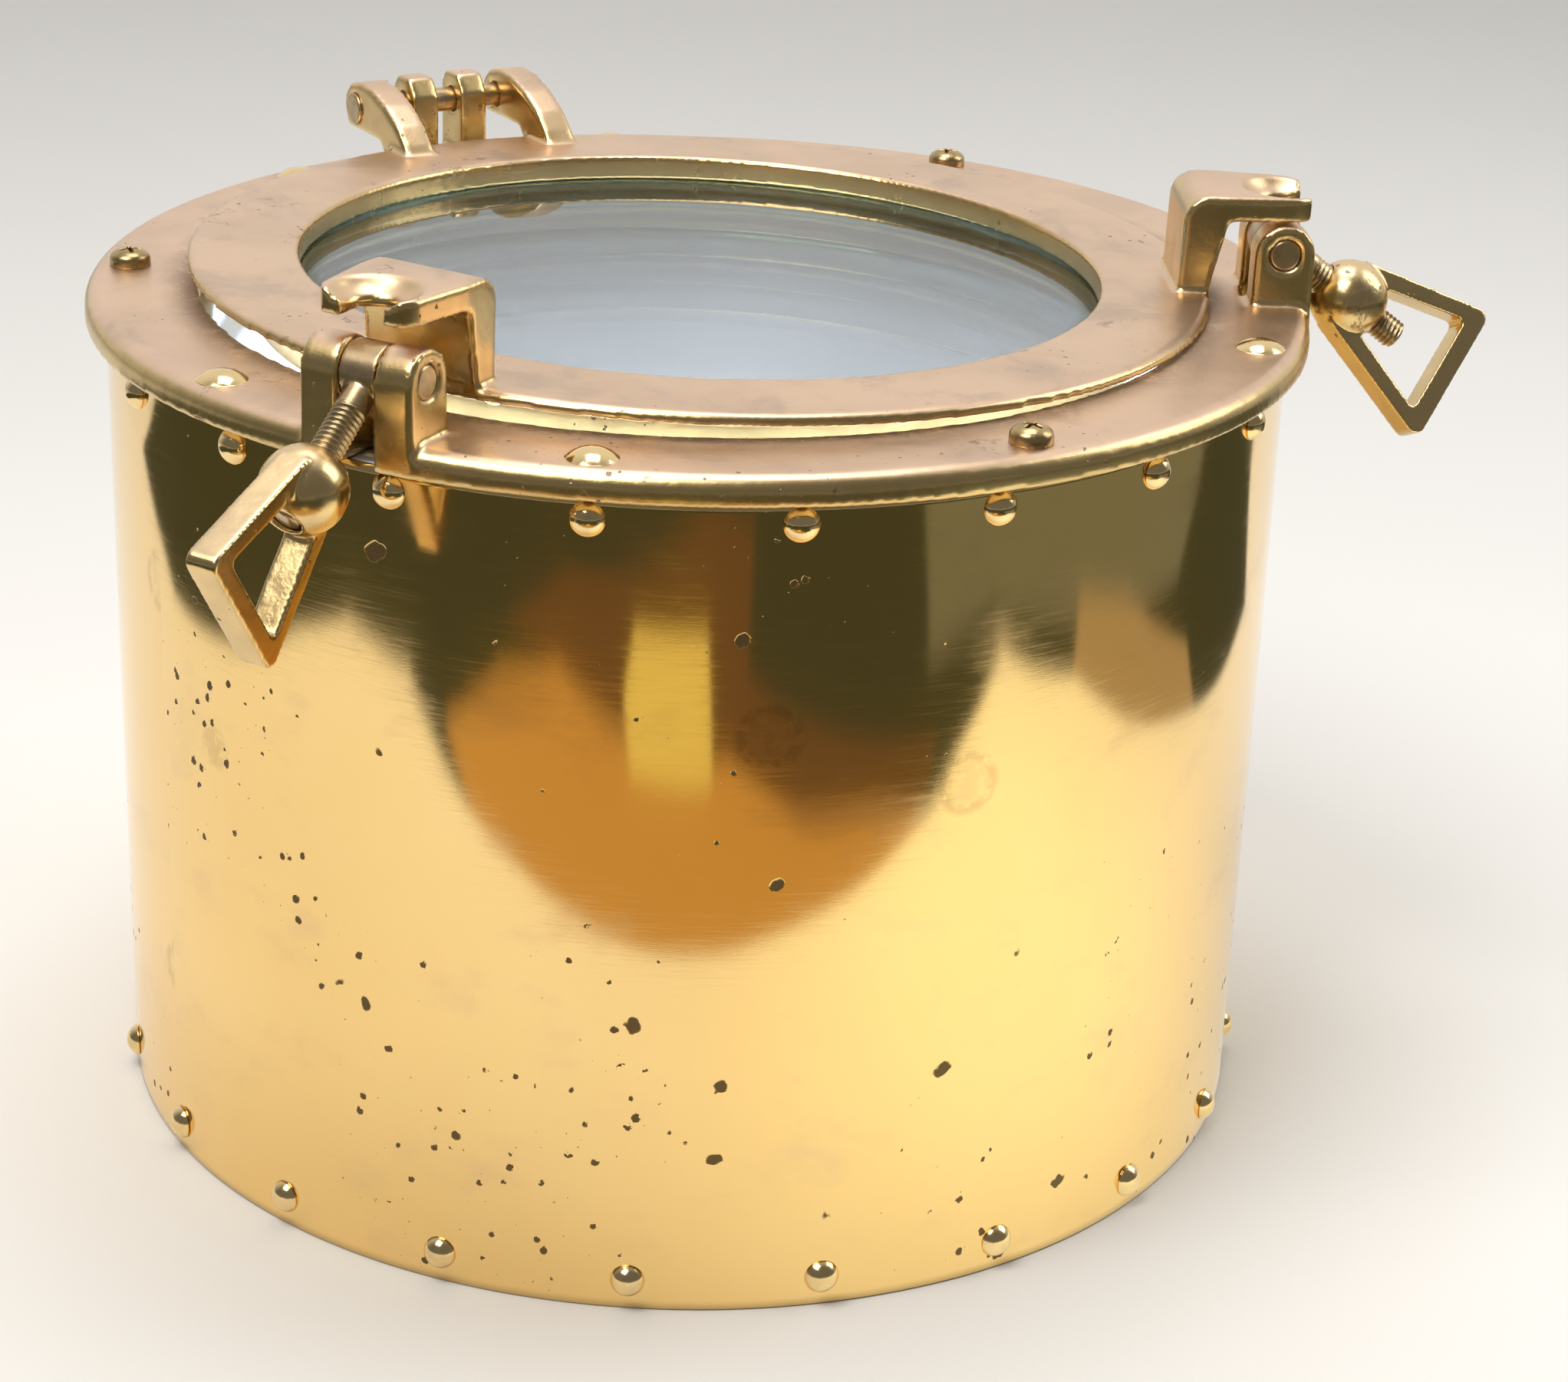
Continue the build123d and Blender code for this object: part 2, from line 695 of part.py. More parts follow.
def dog_nut(dog):
    """Ball nut and its four-sided loop handle, one casting."""
    across = bolt_plane(dog)
    along = across.z_dir
    turn = radians(dog[3])
    ball = across.origin + along * dog[2]
    up = across.y_dir if across.y_dir.Z > 0 else across.y_dir * -1
    wing = up * cos(turn) + tangent(dog[0]) * sin(turn)
    loop_plane = Plane(origin=ball, x_dir=along, z_dir=along.cross(wing))
    flat = BALL_R - BALL_FLAT
    flat_r = sqrt(BALL_R**2 - flat**2)
    with BuildPart() as nut:
        with BuildSketch(loop_plane):
            with BuildLine():
                Polyline(*LOOP_OUTER, close=True)
            outer = make_face()
            fillet(outer.vertices().group_by(Axis.X)[-1], LOOP_CORNER)
        extrude(amount=LOOP_HALF, both=True)
        with BuildSketch(loop_plane):
            with BuildLine():
                Polyline(*LOOP_INNER, close=True)
            inner = make_face()
            fillet(inner.vertices().group_by(Axis.X)[-1], LOOP_INNER_CORNER)
        extrude(amount=LOOP_HALF + OVERRUN, both=True, mode=Mode.SUBTRACT)
        with BuildSketch(Plane(origin=ball, x_dir=across.x_dir, z_dir=across.y_dir * -1)):
            with BuildLine():
                Polyline((flat_r, flat), (0, flat), (0, -flat), (flat_r, -flat))
                ThreePointArc((flat_r, -flat), (BALL_R, 0), (flat_r, flat))
            make_face()
        revolve(axis=Axis(ball, along))
        with BuildSketch(Plane(origin=ball, z_dir=along)):
            Circle(NUT_BORE_R)
        extrude(amount=BALL_R + OVERRUN, both=True, mode=Mode.SUBTRACT)
    return nut


os.makedirs("parts", exist_ok=True)

save(drum_shell(), "drum_shell")
save(side_rivets(TOP_ROW_Z, TOP_ROW_PHASE), "side_rivets_top")
save(side_rivets(FOOT_ROW_Z, FOOT_ROW_PHASE), "side_rivets_foot")
save(top_angle_ring(), "top_angle_ring")
save(bottom_pan(), "bottom_pan")
save(liner(), "liner")
save(liner_floor(), "liner_floor")
save(flange(), "flange")
save(flange_rivets(), "flange_rivets")
save(flange_screws(), "flange_screws")
save(hinge_pin(), "hinge_pin")
save(sash_ring(), "sash_ring")
save(glass(), "glass")
save(glass_retainer(), "glass_retainer")
save(retainer_screws(), "retainer_screws")
for name, dog in (("right", RIGHT_DOG), ("left", LEFT_DOG)):
    save(dog_pin(dog), f"dog_pin_{name}")
    save(dog_bolt(dog), f"dog_bolt_{name}")
    save(dog_nut(dog), f"dog_nut_{name}")
    save(fork_lug(dog[0]), f"fork_lug_{name}")
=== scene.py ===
"""Looks of the opening porthole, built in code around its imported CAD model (metres, +Z up)."""

import math
import random

import bmesh
import bpy
from mathutils import Matrix, Vector, noise


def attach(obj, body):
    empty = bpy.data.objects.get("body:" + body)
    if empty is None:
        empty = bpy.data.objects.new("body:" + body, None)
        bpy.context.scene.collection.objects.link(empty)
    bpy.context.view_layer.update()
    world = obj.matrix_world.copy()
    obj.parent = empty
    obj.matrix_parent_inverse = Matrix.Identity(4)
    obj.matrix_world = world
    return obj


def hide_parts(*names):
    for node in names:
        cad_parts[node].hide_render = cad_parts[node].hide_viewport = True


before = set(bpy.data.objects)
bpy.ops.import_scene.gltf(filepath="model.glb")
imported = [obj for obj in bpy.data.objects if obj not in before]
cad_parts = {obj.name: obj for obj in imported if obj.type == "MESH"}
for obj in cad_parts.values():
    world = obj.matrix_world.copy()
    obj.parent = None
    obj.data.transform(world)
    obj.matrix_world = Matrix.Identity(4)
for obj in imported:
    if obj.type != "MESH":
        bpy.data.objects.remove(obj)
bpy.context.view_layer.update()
random.seed(7)
MM = 0.001
WELD = 1e-7

# Sizes repeated from the part's source, in millimetres.
DRUM_R = 183.8
DRUM_H = 252.3
FLANGE_TOP = 261.1
FASTENER_PCD_R = 177.7
FLANGE_RIVETS = (-50.0, -10.0, 70.0, 110.0, 190.0, 230.0)
SIDE_RIVETS = 20
TOP_ROW = (245.7, -94.0)
FOOT_ROW = (9.5, -89.4)
SASH_Z = 265.2
SASH_LEAN = math.radians(1.2)
SASH_LEAN_AZ = math.radians(152.0)
DOG_R = 180.3
DOG_Z = 277.6
DOGS = {"right": (-30.0, 36.5), "left": (210.0, 35.8)}
EYE_R = 8.6
EYE_HALF = 5.7
PIN_R = 5.0
BOLT_R = 4.76
BOLT_END = 51.0
THREAD_START = 13.5
THREAD_PITCH = 1.6
THREAD_DEPTH = 0.85
THREAD_LEAD_IN = 1.5
BOLT_TIP_TAPER = 1.2
BOLT_TIP_DROP = 0.9
PIN_SLACK = 0.05
PIN_HALF = 17.4
PIN_BEVEL = 0.7
DRUM_SHEET = 1.2
LINER_SHEET = 1.2
LINER_MOUTH_R = 152.5
LINER_WALL_R = 147.2
LINER_FLOOR_Z = 14.0
LINER_STEP_LOW = 234.0
LINER_STEP_HIGH = 241.0
LINER_LIP_SLACK = 0.2
GLASS_R = 133.9
GLASS_TOP = -4.95
GLASS_THICK = 9.9
GLASS_BEVEL = 0.8
CUP_R = 138.5
CUP_FLANGE_R = 153.0
CUP_THICK = 2.0
CUP_LIP_R = 127.0
CUP_FOOT = -14.9
CUP_SEAT_GAP = 0.02
CUP_SCREWS = 8
CUP_SCREW_PCD_R = 147.0
CUP_SCREW_PHASE = -143.4

# Domed heads, in millimetres: radius, height, and how far they go into what they sit on.
SIDE_HEAD = (5.2, 3.5, 0.6)
FLANGE_HEAD = (7.5, 3.0, 0.8)
CUP_HEAD = (3.9, 2.5, 0.2)

# The drum's wall sinks inwards a little, unevenly: (depth in mm, waves per metre).
DRUM_WAVES = ((0.34, 7.0), (0.10, 19.0), (0.045, 48.0))
RIVET_DIMPLE = 0.16
RIVET_DIMPLE_R = 7.5
RIVET_DIMPLE_REACH = 18


# ---- small helpers ---------------------------------------------------------------------
def radial(azimuth):
    """Unit vector out from the drum's axis at an azimuth in degrees."""
    a = math.radians(azimuth)
    return Vector((math.cos(a), math.sin(a), 0.0))


def tangent(azimuth):
    """Unit vector round the drum's axis at an azimuth in degrees."""
    a = math.radians(azimuth)
    return Vector((-math.sin(a), math.cos(a), 0.0))


def link(name, mesh, material, body, stands_for):
    """Puts a visible piece in the scene, on its body and in place of its CAD nodes."""
    piece = bpy.data.objects.new(name, mesh)
    bpy.context.scene.collection.objects.link(piece)
    mesh.materials.clear()
    mesh.materials.append(material)
    for polygon in mesh.polygons:
        polygon.use_smooth = True
    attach(piece, body)
    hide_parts(*stands_for)
    return piece


def axis_matrix(origin, z_axis, x_hint=(0, 0, 1)):
    """Frame in metres with its z along z_axis; origin in millimetres."""
    z = Vector(z_axis).normalized()
    x = Vector(x_hint)
    if abs(x.normalized().dot(z)) > 0.99:
        x = Vector((1, 0, 0))
    y = z.cross(x).normalized()
    x = y.cross(z)
    m = Matrix((x, y, z)).transposed().to_4x4()
    m.translation = Vector(origin) * MM
    return m


def lathe_into(bm, profile, turns, place):
    """Adds a surface of revolution: profile is (r, z) in millimetres, place a 4x4 in metres."""
    rings = []
    for r, z in profile:
        if r < 1e-6:
            rings.append([bm.verts.new(place @ Vector((0, 0, z * MM)))])
            continue
        ring = []
        for k in range(turns):
            a = 2 * math.pi * k / turns
            point = Vector((r * MM * math.cos(a), r * MM * math.sin(a), z * MM))
            ring.append(bm.verts.new(place @ point))
        rings.append(ring)
    for low, high in zip(rings, rings[1:]):
        for k in range(turns):
            n = (k + 1) % turns
            if len(low) == 1:
                bm.faces.new((low[0], high[n], high[k]))
            elif len(high) == 1:
                bm.faces.new((low[k], low[n], high[0]))
            else:
                bm.faces.new((low[k], low[n], high[n], high[k]))


def rounded(points, radius, steps=5):
    """Rounds every inner corner of an open (r, z) outline."""
    out = [points[0]]
    for before, here, after in zip(points, points[1:], points[2:]):
        p, a, b = Vector(here), Vector(before), Vector(after)
        reach = min(radius, 0.45 * (a - p).length, 0.45 * (b - p).length)
        start, end = p + (a - p).normalized() * reach, p + (b - p).normalized() * reach
        for k in range(steps + 1):
            t = k / steps
            q = start * (1 - t) ** 2 + p * 2 * t * (1 - t) + end * t**2
            out.append((q.x, q.y))
    out.append(points[-1])
    return out


def refined(points, step):
    """Splits the runs of an outline that are longer than step."""
    out = [points[0]]
    for a, b in zip(points, points[1:]):
        count = max(1, round(math.dist(a, b) / step))
        for k in range(1, count + 1):
            t = k / count
            out.append((a[0] + (b[0] - a[0]) * t, a[1] + (b[1] - a[1]) * t))
    return out


def mesh_from(bm, name):
    """Ends a bmesh: a mesh with its normals facing out."""
    bmesh.ops.recalc_face_normals(bm, faces=bm.faces)
    mesh = bpy.data.meshes.new(name)
    bm.to_mesh(mesh)
    bm.free()
    return mesh


def sash_matrix():
    """The frame of the sash's underside, which leans a little."""
    lean = Vector((-math.sin(SASH_LEAN) * math.cos(SASH_LEAN_AZ),
                   -math.sin(SASH_LEAN) * math.sin(SASH_LEAN_AZ), math.cos(SASH_LEAN)))
    return axis_matrix((0, 0, SASH_Z), lean, (1, 0, 0))


def soft_copy(nodes, name, voxel, smooth, material, body, wobble=0.0, level=None):
    """A cast-looking copy of CAD nodes: remeshed as one, corners eased, faces faintly uneven."""
    bm = bmesh.new()
    for node in nodes:
        bm.from_mesh(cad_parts[node].data)
    bmesh.ops.remove_doubles(bm, verts=bm.verts, dist=1e-6)
    if level:
        bm.transform(level.inverted())
    mesh = bpy.data.meshes.new(name)
    bm.to_mesh(mesh)
    bm.free()
    mesh = eased(mesh, name, voxel, smooth)
    if level:
        mesh.transform(level)
    if wobble:
        normals = [v.normal.copy() for v in mesh.vertices]
        for v, normal in zip(mesh.vertices, normals):
            lump = noise.noise(v.co * 90.0) + 0.5 * noise.noise(v.co * 260.0)
            v.co += normal * lump * wobble * MM
    return link(name, mesh, material, body, nodes)


def eased(mesh, name, voxel, smooth):
    """Voxel remesh and smoothing of a closed mesh; voxel in millimetres."""
    rough = bpy.data.objects.new(name + "_rough", mesh)
    bpy.context.scene.collection.objects.link(rough)
    remesh = rough.modifiers.new("remesh", "REMESH")
    remesh.mode = "VOXEL"
    remesh.voxel_size = voxel * MM
    ease = rough.modifiers.new("ease", "SMOOTH")
    ease.factor = 0.5
    ease.iterations = smooth
    bpy.context.view_layer.update()
    graph = bpy.context.evaluated_depsgraph_get()
    done = bpy.data.meshes.new_from_object(rough.evaluated_get(graph))
    bpy.data.objects.remove(rough)
    done.name = name
    return done


# ---- node materials --------------------------------------------------------------------
class Shade:
    """Short names for the shader nodes that the materials below are made of."""

    def __init__(self, name):
        self.material = bpy.data.materials.new(name)
        self.material.use_nodes = True
        self.tree = self.material.node_tree
        self.tree.nodes.clear()
        self.out = self.tree.nodes.new("ShaderNodeOutputMaterial")
        self.bsdf = self.tree.nodes.new("ShaderNodeBsdfPrincipled")
        self.tree.links.new(self.bsdf.outputs[0], self.out.inputs[0])
        self.here = self.tree.nodes.new("ShaderNodeTexCoord")

    def set(self, socket, value):
        """Links a socket to a socket, or gives it a constant."""
        if isinstance(value, bpy.types.NodeSocket):
            self.tree.links.new(value, socket)
        else:
            socket.default_value = value

    def node(self, kind, inputs=(), **settings):
        n = self.tree.nodes.new(kind)
        for key, value in settings.items():
            setattr(n, key, value)
        for key, value in dict(inputs).items():
            self.set(n.inputs[key], value)
        return n

    def math(self, operation, a, b=0.0):
        n = self.node("ShaderNodeMath", operation=operation)
        self.set(n.inputs[0], a)
        self.set(n.inputs[1], b)
        return n.outputs[0]

    def scaled(self, vector, scale):
        """Stretched coordinates, for grain that runs one way."""
        n = self.node("ShaderNodeMapping")
        self.set(n.inputs["Vector"], vector)
        n.inputs["Scale"].default_value = scale
        return n.outputs[0]

    def polar(self):
        """The place as (radius, arc at the drum's radius, height) in metres; radius; height."""
        xyz = self.node("ShaderNodeSeparateXYZ", {0: self.here.outputs["Object"]})
        x, y = xyz.outputs[0], xyz.outputs[1]
        square = self.math("ADD", self.math("MULTIPLY", x, x), self.math("MULTIPLY", y, y))
        r = self.math("SQRT", square)
        arc = self.math("MULTIPLY", self.math("ARCTAN2", y, x), DRUM_R * MM)
        place = self.node("ShaderNodeCombineXYZ", {0: r, 1: arc, 2: xyz.outputs[2]})
        return place.outputs[0], r, xyz.outputs[2]

    def noise(self, vector, scale, detail=3.0, roughness=0.55, distortion=0.0):
        n = self.node("ShaderNodeTexNoise", {"Vector": vector, "Scale": scale, "Detail": detail,
                                             "Roughness": roughness, "Distortion": distortion})
        return n.outputs["Fac"]

    def cells(self, vector, scale):
        """Distance to the nearest of some scattered points, and a random colour for each."""
        n = self.node("ShaderNodeTexVoronoi", {"Vector": vector, "Scale": scale})
        return n.outputs["Distance"], n.outputs["Color"]

    def step(self, value, low, high, to_low=0.0, to_high=1.0):
        """Smooth step of value from low to high."""
        n = self.node("ShaderNodeMapRange", interpolation_type="SMOOTHSTEP")
        for key, v in (("Value", value), ("From Min", low), ("From Max", high),
                       ("To Min", to_low), ("To Max", to_high)):
            self.set(n.inputs[key], v)
        return n.outputs[0]

    def mix(self, factor, a, b, blend="MIX"):
        n = self.node("ShaderNodeMix", data_type="RGBA", blend_type=blend)
        self.set(n.inputs[0], factor)
        self.set(n.inputs[6], a)
        self.set(n.inputs[7], b)
        return n.outputs[2]

    def pits(self, vector, scale, size, where, size_spread=0.6):
        """Mask of scattered round pits of mixed sizes, only where the mask 'where' is high."""
        warp = self.noise(vector, scale * 2.5, 2.0)
        shift = self.node("ShaderNodeCombineXYZ", {axis: self.math("MULTIPLY", warp, share / scale)
                                                   for axis, share in enumerate((0.35, 0.5, 0.4))})
        bent = self.node("ShaderNodeVectorMath", {0: vector, 1: shift.outputs[0]}, operation="ADD")
        distance, colour = self.cells(bent.outputs[0], scale)
        pick = self.node("ShaderNodeSeparateColor", {0: colour})
        reach = self.math("MULTIPLY", self.math("POWER", pick.outputs[0], 3.0), size_spread)
        reach = self.math("MULTIPLY", self.math("ADD", reach, size), where)
        return self.step(self.math("SUBTRACT", reach, distance), 0.0, 0.05)

    def bump(self, height, strength, distance):
        n = self.node("ShaderNodeBump", {"Height": height, "Distance": distance})
        n.inputs["Strength"].default_value = strength
        return n

    def finish(self, colour, metallic, roughness, normal=None):
        self.set(self.bsdf.inputs["Base Color"], colour)
        self.set(self.bsdf.inputs["Metallic"], metallic)
        self.set(self.bsdf.inputs["Roughness"], roughness)
        if normal:
            self.set(self.bsdf.inputs["Normal"], normal.outputs[0])
        return self.material


def rgb(r, g, b):
    return (r, g, b, 1.0)


def drum_brass():
    """Polished sheet: faint brushing, hazy patches, dark pits, ringed stains and painted contact shade
    at the foot.
    """
    s = Shade("drum_brass")
    dull, pit_dark = rgb(0.80, 0.55, 0.27), rgb(0.10, 0.065, 0.03)
    stain_dark, foot_contact_shade = rgb(0.25, 0.15, 0.07), rgb(0.30, 0.20, 0.09)
    cell_scale, ring_in, ring_mid, ring_out = 17.0, 0.10, 0.13, 0.19
    contact_shade_height = 0.0035
    at, _, height = s.polar()
    clean = s.mix(s.noise(at, 9.0, 4.0), rgb(0.88, 0.60, 0.23), rgb(0.95, 0.69, 0.31))
    haze = s.step(s.noise(s.scaled(at, (1, 1, 1.6)), 22.0, 5.0, 0.6), 0.52, 0.72)
    colour = s.mix(s.math("MULTIPLY", haze, 0.55), clean, dull)
    brushing = s.noise(s.scaled(at, (1, 4.0, 120.0)), 12.0, 3.0, 0.7)
    where = s.step(s.noise(s.scaled(at, (1, 1, 0.6)), 13.0, 3.0), 0.42, 0.60)
    small = s.pits(at, 240.0, 0.06, where, 0.36)
    sparse = s.step(s.noise(at, 31.0, 1.0), 0.55, 0.66)
    large = s.pits(at, 75.0, 0.04, sparse, 0.24)
    pitted = s.math("MAXIMUM", small, large)
    colour = s.mix(s.math("MULTIPLY", pitted, 0.9), colour, pit_dark)
    distance, tone = s.cells(at, cell_scale)
    pick = s.node("ShaderNodeSeparateColor", {0: tone}).outputs[1]
    ring = s.math("MULTIPLY", s.step(distance, ring_in, ring_mid), s.step(distance, ring_out, 0.15))
    blot = s.math("MULTIPLY", s.step(distance, ring_out, ring_in), 0.45)
    stain = s.math("MULTIPLY", s.math("MAXIMUM", ring, blot), s.step(pick, 0.66, 0.70))
    stain = s.math("MULTIPLY", stain, s.step(s.noise(at, 260.0, 4.0), 0.36, 0.56))
    colour = s.mix(s.math("MULTIPLY", stain, 0.25), colour, stain_dark)
    # Painted shade: the bottom few millimetres darken, as where the drum meets the floor.
    foot = s.step(height, contact_shade_height, 0.0)
    colour = s.mix(s.math("MULTIPLY", foot, 0.55), colour, foot_contact_shade)
    rough = s.math("ADD", s.math("MULTIPLY", s.step(brushing, 0.45, 0.75), 0.05), 0.075)
    rough = s.math("ADD", rough, s.math("MULTIPLY", haze, 0.05))
    rough = s.math("ADD", rough, s.math("MULTIPLY", pitted, 0.45))
    scratch = s.noise(s.scaled(at, (1, 46.0, 700.0)), 9.0, 1.0)
    lines = s.bump(s.math("ADD", s.math("MULTIPLY", brushing, 0.4), scratch), 0.012, 0.0002)
    holes = s.bump(s.math("SUBTRACT", 1.0, pitted), 0.5, 0.0003)
    s.set(holes.inputs["Normal"], lines.outputs[0])
    return s.finish(colour, 1.0, rough, holes)


def cast_brass(name, tone, top_reflection_tone, rough=0.26, dust_and_shade=False, turned=True):
    """Worn cast brass with stains, specks and scratches; its flat upper faces duller and with a painted
    pale reflection.

    tone is the colour of its sides, top_reflection_tone the painted reflection on its flat upper faces;
    dust_and_shade adds painted shade and pale dust specks round the sash, turned adds fine rings.
    """
    s = Shade(name)
    cloud_dark, stain_dark = rgb(0.36, 0.27, 0.21), rgb(0.15, 0.11, 0.085)
    speck_dark = rgb(0.13, 0.09, 0.06)
    sash_shade_dark, dust_pale = rgb(0.20, 0.145, 0.11), rgb(0.62, 0.55, 0.48)
    sash_shade_from, sash_shade_full = 0.170, 0.157
    dust_from, dust_full = 0.172, 0.158
    at, radius, _ = s.polar()
    here = s.here.outputs["Object"]
    upward = s.node("ShaderNodeSeparateXYZ", {0: s.here.outputs["Normal"]}).outputs[2]
    flat = s.step(upward, 0.55, 0.95)
    blotch = s.noise(here, 45.0, 4.0, 0.6)
    colour = s.mix(s.step(blotch, 0.35, 0.65), rgb(*tone), rgb(*(c * 0.86 for c in tone)))
    # Painted reflection: flat upper faces get a paler, peach colour, as the pale ceiling shows in them.
    top_reflection = s.step(s.noise(here, 28.0, 3.0), 0.35, 0.65)
    top_reflection = s.mix(top_reflection, rgb(*top_reflection_tone), rgb(*(c * 0.90 for c in top_reflection_tone)))
    colour = s.mix(flat, colour, top_reflection)
    stain = s.step(s.noise(here, 95.0, 6.0, 0.72, 0.4), 0.605, 0.66)
    stain = s.math("MULTIPLY", stain, s.step(s.noise(here, 12.0, 3.0), 0.48, 0.62))
    cloudy = s.step(s.noise(here, 26.0, 5.0, 0.65, 0.5), 0.50, 0.68)
    cloudy = s.math("MULTIPLY", cloudy, flat)
    colour = s.mix(s.math("MULTIPLY", cloudy, 0.35), colour, cloud_dark)
    colour = s.mix(s.math("MULTIPLY", stain, 0.65), colour, stain_dark)
    specks = s.pits(here, 330.0, 0.06, s.step(s.noise(here, 21.0, 2.0), 0.46, 0.62), 0.26)
    colour = s.mix(s.math("MULTIPLY", specks, 0.7), colour, speck_dark)
    roughness = s.math("ADD", s.math("MULTIPLY", blotch, 0.12), rough - 0.06)
    roughness = s.math("ADD", roughness, s.math("MULTIPLY", flat, 0.10))
    roughness = s.math("ADD", roughness, s.math("MULTIPLY", s.math("MAXIMUM", stain, specks), 0.25))
    if dust_and_shade:
        # Painted shade: flat faces darken, in patches, towards the sash that shades them.
        grime_and_shade = s.math("MULTIPLY", s.step(radius, sash_shade_from, sash_shade_full), flat)
        grime_and_shade = s.math("MULTIPLY", grime_and_shade, s.step(s.noise(here, 70.0, 5.0, 0.7), 0.25, 0.55))
        colour = s.mix(s.math("MULTIPLY", grime_and_shade, 0.75), colour, sash_shade_dark)
        roughness = s.math("ADD", roughness, s.math("MULTIPLY", grime_and_shade, 0.25))
        dusted = s.math("MULTIPLY", s.step(radius, dust_from, dust_full), flat)
        dots = s.pits(here, 520.0, 0.10, dusted, 0.25)
        colour = s.mix(s.math("MULTIPLY", dots, 0.6), colour, dust_pale)
    grain = s.noise(here, 900.0, 3.0, 0.6)
    dents = s.noise(here, 160.0, 3.0, 0.6)
    height = s.math("ADD", s.math("MULTIPLY", grain, 0.25), dents)
    if turned:
        lines = s.noise(s.scaled(at, (420.0, 5.0, 60.0)), 10.0, 2.0, 0.6)
        height = s.math("ADD", height, s.math("MULTIPLY", lines, 0.18))
    nicks = s.math("SUBTRACT", 1.0, specks)
    soft = s.bump(height, 0.16, 0.0006)
    sharp = s.bump(nicks, 0.4, 0.0002)
    s.set(sharp.inputs["Normal"], soft.outputs[0])
    return s.finish(colour, 1.0, roughness, sharp)


def plain_brass(name, tone, rough, grime_and_shade):
    """Small turned or headed brass pieces."""
    s = Shade(name)
    here = s.here.outputs["Object"]
    cloud = s.noise(here, 160.0, 4.0, 0.6)
    colour = s.mix(s.step(cloud, 0.45, 0.75), rgb(*tone), rgb(*(c * (1 - grime_and_shade) for c in tone)))
    roughness = s.math("ADD", s.math("MULTIPLY", cloud, 0.15), rough - 0.06)
    return s.finish(colour, 1.0, roughness, s.bump(s.noise(here, 700.0, 3.0), 0.12, 0.0003))


def grey_metal():
    """The liner's pale grey sheet, with fine lines round it."""
    s = Shade("liner_metal")
    at, _, _ = s.polar()
    cloud = s.noise(at, 16.0, 4.0)
    colour = s.mix(cloud, rgb(0.66, 0.70, 0.74), rgb(0.80, 0.83, 0.86))
    lines = s.noise(s.scaled(at, (1, 2.5, 500.0)), 12.0, 3.0, 0.65)
    marks = s.step(s.noise(s.scaled(at, (1, 30.0, 600.0)), 8.0, 1.0), 0.68, 0.72)
    colour = s.mix(s.math("MULTIPLY", marks, 0.4), colour, rgb(0.3, 0.32, 0.34))
    rough = s.math("ADD", s.math("MULTIPLY", lines, 0.16), 0.26)
    return s.finish(colour, 0.72, rough, s.bump(lines, 0.10, 0.0003))


def clear_glass():
    """Thin clear pane: see-through face on, mirror-like at low angles, greener at its rim."""
    s = Shade("pane_glass")
    _, radius, _ = s.polar()
    smear = s.noise(s.here.outputs["Object"], 14.0, 4.0)
    facing = s.node("ShaderNodeFresnel", {"IOR": 1.5}).outputs[0]
    rim = s.step(radius, 0.1185, 0.1265, 0.0, 0.5)
    smudge = s.math("MULTIPLY", s.step(smear, 0.5, 0.8), 0.03)
    alpha = s.math("ADD", s.math("MULTIPLY", facing, 1.25), smudge)
    s.set(s.bsdf.inputs["Alpha"], s.math("MINIMUM", s.math("MAXIMUM", alpha, rim), 0.95))
    tint = s.mix(s.step(radius, 0.116, 0.124), rgb(0.94, 0.97, 0.98), rgb(0.36, 0.46, 0.38))
    return s.finish(tint, 1.0, s.step(smear, 0.45, 0.85, 0.01, 0.05))


DRUM = drum_brass()
FLANGE = cast_brass("flange_brass", (0.74, 0.54, 0.24), (0.80, 0.57, 0.40), 0.27, dust_and_shade=True)
SASH = cast_brass("sash_brass", (0.74, 0.53, 0.24), (0.80, 0.57, 0.39), 0.25)
FITTING = cast_brass("fitting_brass", (0.78, 0.57, 0.27), (0.80, 0.60, 0.34), 0.22, turned=False)
RIVET = plain_brass("rivet_brass", (0.90, 0.68, 0.34), 0.12, 0.15)
SCREW = plain_brass("screw_brass", (0.50, 0.36, 0.17), 0.26, 0.45)
PIN = plain_brass("pin_brass", (0.58, 0.43, 0.25), 0.30, 0.40)
THREAD = plain_brass("thread_brass", (0.55, 0.42, 0.24), 0.30, 0.5)
LINER = grey_metal()
GLASS = clear_glass()


# ---- drum and liner --------------------------------------------------------------------
def rivet_dimple(angle, z):
    """How far the sheet is drawn in round the side rivets, in millimetres."""
    depth = 0.0
    for row_z, phase in (TOP_ROW, FOOT_ROW):
        if abs(z - row_z) < RIVET_DIMPLE_REACH:
            turn = (math.degrees(angle) - phase) / (360.0 / SIDE_RIVETS)
            across = (turn - round(turn)) * 2 * math.pi * DRUM_R / SIDE_RIVETS
            depth += RIVET_DIMPLE * math.exp(-((math.hypot(z - row_z, across) / RIVET_DIMPLE_R) ** 2))
    return depth


